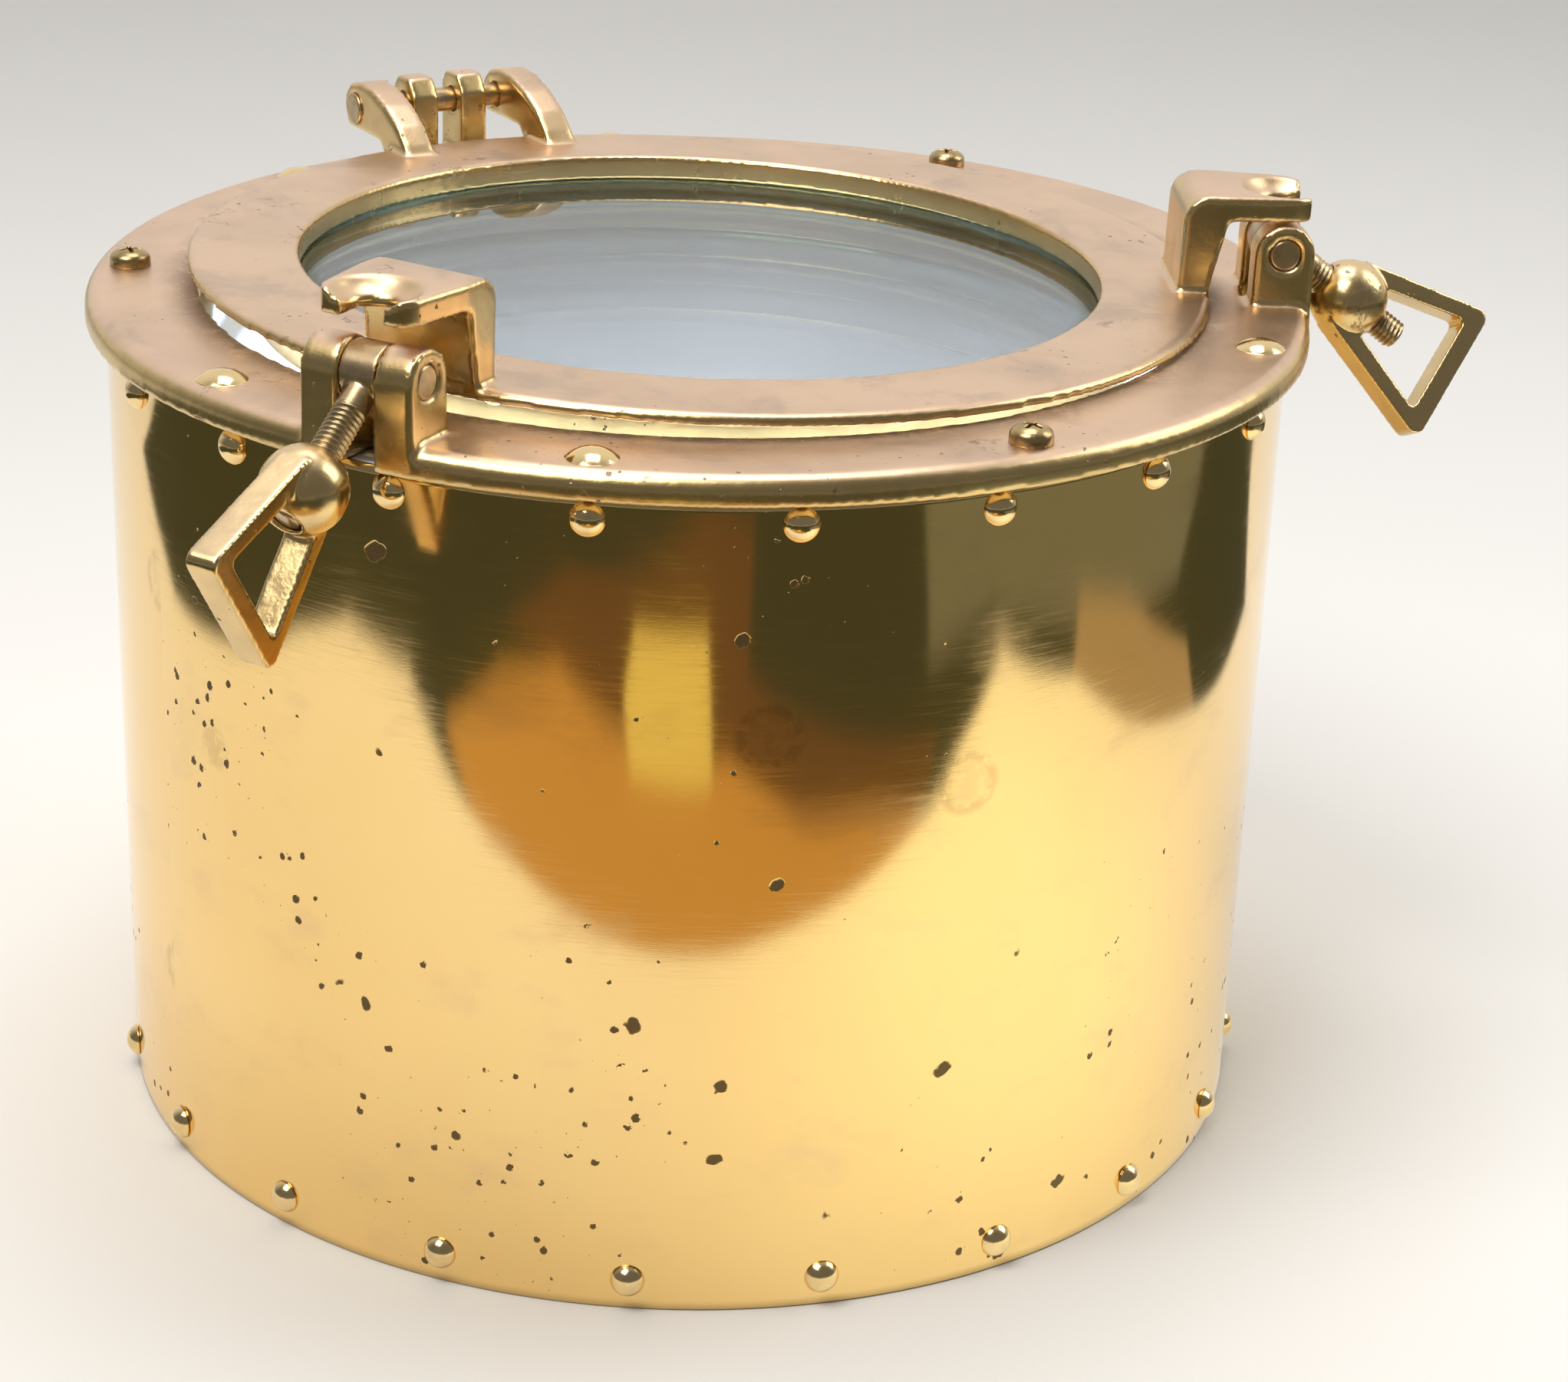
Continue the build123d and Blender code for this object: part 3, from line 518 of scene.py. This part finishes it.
def drum():
    """The drum's wall: a thin sheet with an eased foot, its outer face slightly uneven."""
    inner = DRUM_R - DRUM_SHEET
    outside = [(DRUM_R, DRUM_H), (DRUM_R, 0.7), (DRUM_R - 0.25, 0.15), (DRUM_R - 0.9, 0.0), (inner, 0.3)]
    outline = [(inner, 0.3), (inner, DRUM_H)] + refined(outside, 3.2)
    bm = bmesh.new()
    lathe_into(bm, outline, 600, Matrix.Identity(4))
    bmesh.ops.remove_doubles(bm, verts=bm.verts, dist=WELD)
    for v in bm.verts:
        r = math.hypot(v.co.x, v.co.y)
        if r < (DRUM_R - 0.6) * MM:
            continue
        there = Vector((v.co.x, v.co.y, v.co.z * 0.8))
        sink = sum(depth * (0.5 + noise.noise(there * waves)) for depth, waves in DRUM_WAVES)
        sink += rivet_dimple(math.atan2(v.co.y, v.co.x), v.co.z / MM)
        v.co.x *= 1 - sink * MM / r
        v.co.y *= 1 - sink * MM / r
    link("drum_wall", mesh_from(bm, "drum_wall"), DRUM, "frame", ("drum_shell",))


def dome(bm, place, head, turns):
    """A domed head on the plane z = 0 of place; head is (radius, height, embedded depth)."""
    radius, height, embed = head
    steps = 12
    sphere = (radius * radius + height * height) / (2 * height)
    outline = [(0.0, -embed), (radius * 0.6, -embed), (radius * 0.96, -embed * 0.3), (radius, 0.15)]
    for k in range(1, steps + 1):
        r = radius * math.cos(k / steps * math.pi / 2)
        crown = height - sphere + math.sqrt(sphere * sphere - r * r)
        outline.append((r, crown + 0.12 * (1 - k / steps)))
    lathe_into(bm, outline, turns, place)


def side_rivet_row(name, node, row):
    """One row of heads round the drum, each leaning and sized a little differently."""
    row_z, phase = row
    radius, height, embed = SIDE_HEAD
    bm = bmesh.new()
    for k in range(SIDE_RIVETS):
        out = radial(phase + 360.0 * k / SIDE_RIVETS)
        lean = Vector((random.uniform(-1, 1), random.uniform(-1, 1), random.uniform(-1, 1))) * 0.02
        place = axis_matrix(out * (DRUM_R - 0.15) + Vector((0, 0, row_z)), out + lean)
        dome(bm, place, (radius + random.uniform(-0.15, 0.0), height, embed), 40)
    link(name, mesh_from(bm, name), RIVET, "frame", (node,))


def flange_rivet_heads():
    bm = bmesh.new()
    for azimuth in FLANGE_RIVETS:
        seat = radial(azimuth) * FASTENER_PCD_R + Vector((0, 0, FLANGE_TOP - 0.1))
        dome(bm, axis_matrix(seat, (0, 0, 1)), FLANGE_HEAD, 56)
    heads = mesh_from(bm, "flange_rivet_heads")
    link("flange_rivet_heads", heads, RIVET, "frame", ("flange_rivets",))


def liner_pan():
    """The liner's wall and floor as one thin pan with a stepped mouth and a clamped lip."""
    lip = DRUM_R - DRUM_SHEET - LINER_LIP_SLACK
    wall, mouth = LINER_WALL_R - LINER_SHEET, LINER_MOUTH_R - LINER_SHEET
    under = [(0, LINER_FLOOR_Z), (LINER_WALL_R, LINER_FLOOR_Z), (LINER_WALL_R, LINER_STEP_LOW),
             (LINER_MOUTH_R, LINER_STEP_HIGH), (LINER_MOUTH_R, DRUM_H - LINER_SHEET),
             (lip, DRUM_H - LINER_SHEET)]
    upper = [(lip, DRUM_H), (mouth, DRUM_H), (mouth, LINER_STEP_HIGH + 0.5),
             (wall, LINER_STEP_LOW + 0.5), (wall, LINER_FLOOR_Z + LINER_SHEET),
             (0, LINER_FLOOR_Z + LINER_SHEET)]
    outline = rounded(under, 2.5) + rounded(upper, 2.2, 7)
    bm = bmesh.new()
    lathe_into(bm, refined(outline, 9.0), 480, Matrix.Identity(4))
    link("liner_pan", mesh_from(bm, "liner_pan"), LINER, "frame", ("liner", "liner_floor"))


# ---- sash ------------------------------------------------------------------------------
def glass_pane():
    """The pane, bevelled at both rims and flat-shaded on its two faces."""
    low = GLASS_TOP - GLASS_THICK
    outline = [(0, low), (GLASS_R - GLASS_BEVEL, low), (GLASS_R, low + GLASS_BEVEL),
               (GLASS_R, GLASS_TOP - GLASS_BEVEL), (GLASS_R - GLASS_BEVEL, GLASS_TOP), (0, GLASS_TOP)]
    bm = bmesh.new()
    lathe_into(bm, outline, 300, sash_matrix())
    piece = link("pane", mesh_from(bm, "pane"), GLASS, "sash", ("glass",))
    for polygon in piece.data.polygons:
        polygon.use_smooth = abs(polygon.normal.z) < 0.9


def retainer():
    """The flanged cup that holds the pane from below, and its screw heads."""
    inside, low = CUP_R - CUP_THICK, CUP_FOOT - CUP_THICK
    outline = [(inside, -CUP_SEAT_GAP), (CUP_FLANGE_R, -CUP_SEAT_GAP), (CUP_FLANGE_R, -CUP_THICK),
               (CUP_R, -CUP_THICK), (CUP_R, low), (CUP_LIP_R, low), (CUP_LIP_R, CUP_FOOT),
               (inside, CUP_FOOT), (inside, -CUP_SEAT_GAP)]
    bm = bmesh.new()
    lathe_into(bm, rounded(outline, 0.5, 3), 300, sash_matrix())
    bmesh.ops.remove_doubles(bm, verts=bm.verts, dist=WELD)
    cup = mesh_from(bm, "retainer_ring")
    link("retainer_ring", cup, SASH, "sash", ("glass_retainer",))
    bm = bmesh.new()
    for k in range(CUP_SCREWS):
        out = radial(CUP_SCREW_PHASE + 360.0 * k / CUP_SCREWS)
        seat = out * CUP_SCREW_PCD_R - Vector((0, 0, CUP_THICK))
        place = sash_matrix() @ Matrix.Translation(seat * MM) @ Matrix.Rotation(math.pi, 4, "X")
        dome(bm, place, CUP_HEAD, 28)
    heads = mesh_from(bm, "retainer_heads")
    link("retainer_heads", heads, SCREW, "sash", ("retainer_screws",))


# ---- dogs ------------------------------------------------------------------------------
def bolt_matrix(side):
    """The frame of a bolt: z along its shank, away from its clevis pin."""
    azimuth, droop = DOGS[side]
    d = math.radians(droop)
    along = radial(azimuth) * math.cos(d) - Vector((0, 0, math.sin(d)))
    return axis_matrix(radial(azimuth) * DOG_R + Vector((0, 0, DOG_Z)), along, tangent(azimuth))


def bolt_eye(side):
    """The bolt's eye and the plain neck that joins it to the thread."""
    place = bolt_matrix(side)
    bore, neck = PIN_R + PIN_SLACK, BOLT_R - 0.1
    neck_from, neck_to = 6.4, 14.5
    bm = bmesh.new()
    ring = [(bore, -EYE_HALF), (EYE_R, -EYE_HALF), (EYE_R, EYE_HALF), (bore, EYE_HALF),
            (bore, -EYE_HALF)]
    lathe_into(bm, ring, 64, place @ Matrix.Rotation(math.pi / 2, 4, "Y"))
    lathe_into(bm, [(0, neck_from), (neck, neck_from), (neck, neck_to), (0, neck_to)], 64, place)
    bmesh.ops.remove_doubles(bm, verts=bm.verts, dist=WELD)
    soft = eased(mesh_from(bm, "eye"), "bolt_eye_" + side, 0.45, 3)
    link("bolt_eye_" + side, soft, PIN, side + "_dog", ("dog_bolt_" + side,))


def bolt_thread(side):
    """The threaded shank: a true helix that fades in at the neck and tapers at the tip."""
    place = bolt_matrix(side)
    turns, per_pitch = 40, 8
    count = int((BOLT_END - THREAD_START) / THREAD_PITCH * per_pitch)
    bm = bmesh.new()
    rings = []
    for i in range(count + 1):
        z = THREAD_START + i * THREAD_PITCH / per_pitch
        lead_in = min(1.0, (z - THREAD_START) / THREAD_LEAD_IN)
        tip = 1.0 - min(1.0, max(0.0, (BOLT_END - z) / BOLT_TIP_TAPER))
        ring = []
        for k in range(turns):
            phase = (i / per_pitch - k / turns) % 1.0
            tooth = 1.0 - abs(2.0 * phase - 1.0)
            r = BOLT_R - THREAD_DEPTH * (1.0 - tooth**0.8) * lead_in - BOLT_TIP_DROP * tip
            a = 2 * math.pi * k / turns
            ring.append(bm.verts.new(place @ (Vector((r * math.cos(a), r * math.sin(a), z)) * MM)))
        rings.append(ring)
    for low, high in zip(rings, rings[1:]):
        for k in range(turns):
            n = (k + 1) % turns
            bm.faces.new((low[k], low[n], high[n], high[k]))
    for ring, z in ((rings[0], THREAD_START), (rings[-1], BOLT_END)):
        middle = bm.verts.new(place @ Vector((0, 0, z * MM)))
        for k in range(turns):
            bm.faces.new((ring[k], ring[(k + 1) % turns], middle))
    thread = mesh_from(bm, "bolt_thread_" + side)
    link("bolt_thread_" + side, thread, THREAD, side + "_dog", ("dog_bolt_" + side,))


def clevis_pin(side):
    """The pin a bolt swings on, bevelled at both ends."""
    azimuth = DOGS[side][0]
    place = axis_matrix(radial(azimuth) * DOG_R + Vector((0, 0, DOG_Z)), tangent(azimuth))
    radius = PIN_R - PIN_SLACK
    outline = [(0, -PIN_HALF), (radius - PIN_BEVEL, -PIN_HALF), (radius, -PIN_HALF + PIN_BEVEL),
               (radius, PIN_HALF - PIN_BEVEL), (radius - PIN_BEVEL, PIN_HALF), (0, PIN_HALF)]
    bm = bmesh.new()
    lathe_into(bm, rounded(outline, 0.3, 3), 48, place)
    pin = mesh_from(bm, "clevis_pin_" + side)
    link("clevis_pin_" + side, pin, PIN, "frame", ("dog_pin_" + side,))


drum()
side_rivet_row("top_rivet_heads", "side_rivets_top", TOP_ROW)
side_rivet_row("foot_rivet_heads", "side_rivets_foot", FOOT_ROW)
flange_rivet_heads()
liner_pan()
soft_copy(["flange"], "flange_casting", 1.15, 4, FLANGE, "frame", 0.05)
soft_copy(["flange_screws"], "flange_screw_heads", 0.32, 2,
          SCREW, "frame")
soft_copy(["hinge_pin"], "hinge_rod", 0.5, 3, PIN, "sash")
soft_copy(["sash_ring", "fork_lug_right", "fork_lug_left"], "sash_casting", 1.1, 4,
          SASH, "sash", 0.05, sash_matrix())
glass_pane()
retainer()
for side in DOGS:
    clevis_pin(side)
    bolt_eye(side)
    bolt_thread(side)
    soft_copy(["dog_nut_" + side], "ball_nut_" + side, 0.55, 6,
              FITTING, side + "_nut", 0.05)
for node in ("bottom_pan", "top_angle_ring"):
    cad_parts[node].data.materials.clear()
    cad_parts[node].data.materials.append(SCREW)


# ---- floor, light and camera -----------------------------------------------------------
def emission(name, colour, strength):
    """A plain glowing material for the studio cards."""
    material = bpy.data.materials.new(name)
    material.use_nodes = True
    nodes = material.node_tree.nodes
    nodes.clear()
    out = nodes.new("ShaderNodeOutputMaterial")
    glow = nodes.new("ShaderNodeEmission")
    glow.inputs["Color"].default_value = rgb(*colour)
    glow.inputs["Strength"].default_value = strength
    material.node_tree.links.new(glow.outputs[0], out.inputs[0])
    return material


def card(name, mesh, material):
    """Studio card: only the polished metal sees it."""
    piece = bpy.data.objects.new(name, mesh)
    bpy.context.scene.collection.objects.link(piece)
    mesh.materials.append(material)
    piece.visible_camera = False
    piece.visible_diffuse = False
    piece.visible_shadow = False
    piece.visible_transmission = False
    return piece


def polygon_mesh(name, corners):
    mesh = bpy.data.meshes.new(name)
    mesh.from_pydata([Vector(c) for c in corners], [], [tuple(range(len(corners)))])
    return mesh


def floor():
    """Plain pale floor."""
    far, pale, paler = 9.0, rgb(0.80, 0.785, 0.76), rgb(0.83, 0.815, 0.79)
    mesh = polygon_mesh("floor", [(-far, -far, 0), (far, -far, 0), (far, far, 0), (-far, far, 0)])
    piece = bpy.data.objects.new("floor", mesh)
    bpy.context.scene.collection.objects.link(piece)
    s = Shade("floor")
    s.bsdf.inputs["Specular IOR Level"].default_value = 0.2
    cloud = s.noise(s.here.outputs["Object"], 3.0)
    mesh.materials.append(s.finish(s.mix(cloud, pale, paler), 0.0, 0.7))


def floor_cards():
    """What the polished drum sees: the table's edge, its wooden side and the room beyond.

    Each is (height, colour, strength, outline), in metres.
    """
    shapes = {
        "room": (0.0010, (0.95, 1.0, 0.62), 0.065, [
            (-0.36, 0.66), (-0.42, 0.42), (-0.52, 0.26), (-0.62, 0.12), (-0.67, 0.0),
            (-0.62, -0.13), (-0.45, -0.215), (-0.3, -0.3), (-0.1, -0.42), (0.0, -0.475),
            (0.09, -0.53), (0.25, -0.63), (0.3, -0.56), (0.36, -0.5), (0.4, -0.38), (0.44, -0.27),
            (0.5, -0.1), (0.56, 0.02), (1.6, 0.1), (2.6, -1.0), (1.5, -3.0), (-1.5, -3.0),
            (-2.8, -1.0), (-2.6, 0.8), (-1.1, 0.9)]),
        "far_side": (0.0012, (0.95, 1.0, 0.85), 0.2, [
            (0.1, -0.66), (0.25, -0.68), (0.34, -0.61), (0.48, -0.46), (0.6, -0.3), (0.9, -0.25),
            (1.0, -0.8), (0.4, -1.2), (0.12, -0.95)]),
        "deep_brown": (0.0013, (1.0, 0.58, 0.28), 0.15, [
            (-0.62, -0.33), (-0.52, -0.4), (-0.42, -0.44), (-0.32, -0.46), (-0.25, -0.525),
            (-0.12, -0.505), (0.07, -0.53), (0.1, -0.58), (-0.1, -0.6), (-0.25, -0.62),
            (-0.3, -0.8), (-0.42, -0.78), (-0.5, -0.62), (-0.62, -0.5)]),
        "brown": (0.0014, (1.0, 0.58, 0.18), 0.6, [
            (-0.56, -0.19), (-0.45, -0.215), (-0.3, -0.3), (-0.1, -0.42), (0.0, -0.475),
            (0.07, -0.52), (-0.03, -0.52), (-0.12, -0.505), (-0.25, -0.525), (-0.32, -0.46),
            (-0.42, -0.44), (-0.52, -0.4), (-0.57, -0.3)]),
        "brown_right": (0.0015, (1.0, 0.78, 0.5), 0.42, [
            (0.36, -0.5), (0.4, -0.38), (0.44, -0.27), (0.47, -0.19), (0.54, -0.24), (0.52, -0.45),
            (0.44, -0.56)]),
        "patch": (0.0018, (1.0, 0.84, 0.3), 0.8, [
            (-0.355, -0.425), (-0.255, -0.49), (-0.285, -0.54), (-0.335, -0.625), (-0.455, -0.54),
            (-0.42, -0.47)]),
    }
    for name, (height, colour, strength, outline) in shapes.items():
        mesh = polygon_mesh(name, [(x, y, height) for x, y in outline])
        card(name, mesh, emission(name, colour, strength))
    pool()


def pool():
    """Warm pool of light on the table in front of the drum, fading to nothing at its rim."""
    reach, sides, fade_from, fade_to = 0.42, 48, 0.40, 0.04
    turns = [2 * math.pi * k / sides for k in range(sides)]
    mesh = polygon_mesh("pool", [(reach * math.cos(a), reach * math.sin(a), 0) for a in turns])
    material = emission("pool", (1.0, 0.97, 0.82), 1.35)
    tree = material.node_tree
    clear = tree.nodes.new("ShaderNodeBsdfTransparent")
    blend = tree.nodes.new("ShaderNodeMixShader")
    where = tree.nodes.new("ShaderNodeTexCoord")
    length = tree.nodes.new("ShaderNodeVectorMath")
    length.operation = "LENGTH"
    fade = tree.nodes.new("ShaderNodeMapRange")
    fade.interpolation_type = "SMOOTHSTEP"
    fade.inputs["From Min"].default_value = fade_from
    fade.inputs["From Max"].default_value = fade_to
    glow = next(n for n in tree.nodes if n.type == "EMISSION")
    out = next(n for n in tree.nodes if n.type == "OUTPUT_MATERIAL")
    tree.links.new(where.outputs["Object"], length.inputs[0])
    tree.links.new(length.outputs["Value"], fade.inputs["Value"])
    tree.links.new(fade.outputs[0], blend.inputs[0])
    tree.links.new(clear.outputs[0], blend.inputs[1])
    tree.links.new(glow.outputs[0], blend.inputs[2])
    tree.links.new(blend.outputs[0], out.inputs[0])
    card("pool", mesh, material).location = (0.13, -0.40, 0.0006)


def sky():
    """Soft world light, brighter behind and above the object than in front of it."""
    world = bpy.data.worlds.new("studio")
    bpy.context.scene.world = world
    world.use_nodes = True
    tree = world.node_tree
    tree.nodes.clear()
    out = tree.nodes.new("ShaderNodeOutputWorld")
    light = tree.nodes.new("ShaderNodeBackground")
    where = tree.nodes.new("ShaderNodeTexCoord")
    split = tree.nodes.new("ShaderNodeVectorMath")
    split.operation = "DOT_PRODUCT"
    split.inputs[1].default_value = (0.50, 0.78, 0.38)
    ramp = tree.nodes.new("ShaderNodeMapRange")
    ramp.interpolation_type = "SMOOTHSTEP"
    ramp.inputs["From Min"].default_value = -0.05
    ramp.inputs["From Max"].default_value = 0.92
    ramp.inputs["To Min"].default_value = 0.16
    ramp.inputs["To Max"].default_value = 0.85
    tree.links.new(where.outputs["Generated"], split.inputs[0])
    tree.links.new(split.outputs["Value"], ramp.inputs["Value"])
    tree.links.new(ramp.outputs[0], light.inputs["Strength"])
    light.inputs["Color"].default_value = rgb(1.0, 0.985, 0.96)
    tree.links.new(light.outputs[0], out.inputs[0])


def area(name, place, target, width, height, watts, colour):
    """A rectangular lamp that faces its target."""
    lamp = bpy.data.lights.new(name, "AREA")
    lamp.shape = "RECTANGLE"
    lamp.size, lamp.size_y = width, height
    lamp.energy = watts
    lamp.color = colour
    piece = bpy.data.objects.new(name, lamp)
    bpy.context.scene.collection.objects.link(piece)
    piece.location = place
    piece.rotation_mode = "QUATERNION"
    piece.rotation_quaternion = (Vector(target) - Vector(place)).to_track_quat("-Z", "Y")
    return piece


def camera():
    """The camera, at the angle the object is shown from."""
    lens = bpy.data.cameras.new("camera")
    lens.sensor_fit = "HORIZONTAL"
    lens.sensor_width = 36.0
    lens.lens = 79.724
    piece = bpy.data.objects.new("camera", lens)
    bpy.context.scene.collection.objects.link(piece)
    right = Vector((0.848918, -0.527412, 0.034270))
    up = Vector((0.177066, 0.344899, 0.921788))
    forward = Vector((0.497982, 0.776454, -0.386178))
    pose = Matrix((right, up, -forward)).transposed().to_4x4()
    pose.translation = Vector((-0.543136, -0.903930, 0.563120))
    piece.matrix_world = pose
    bpy.context.scene.camera = piece


floor()
sky()
camera()
floor_cards()
area("key", (-0.9, -0.3, 1.7), (0, 0, 0.15), 1.0, 1.0, 22.0, (1.0, 0.98, 0.95))
inside = area("inside", (0.0, 0.02, 0.236), (0.0, 0.0, 0.0), 0.16, 0.16, 6.0, (0.94, 0.97, 1.0))
inside.visible_camera = False
inside.visible_glossy = False
area("above", (0.15, 0.25, 1.9), (0, 0, 0.2), 0.8, 0.8, 10.0, (1.0, 0.99, 0.97))
area("fill", (1.4, -0.5, 1.2), (0, 0, 0.15), 0.9, 1.2, 9.0, (0.95, 0.97, 1.0))
bpy.context.scene.view_settings.view_transform = "Standard"
bpy.context.scene.view_settings.look = "None"
bpy.context.scene.view_settings.exposure = 0.0
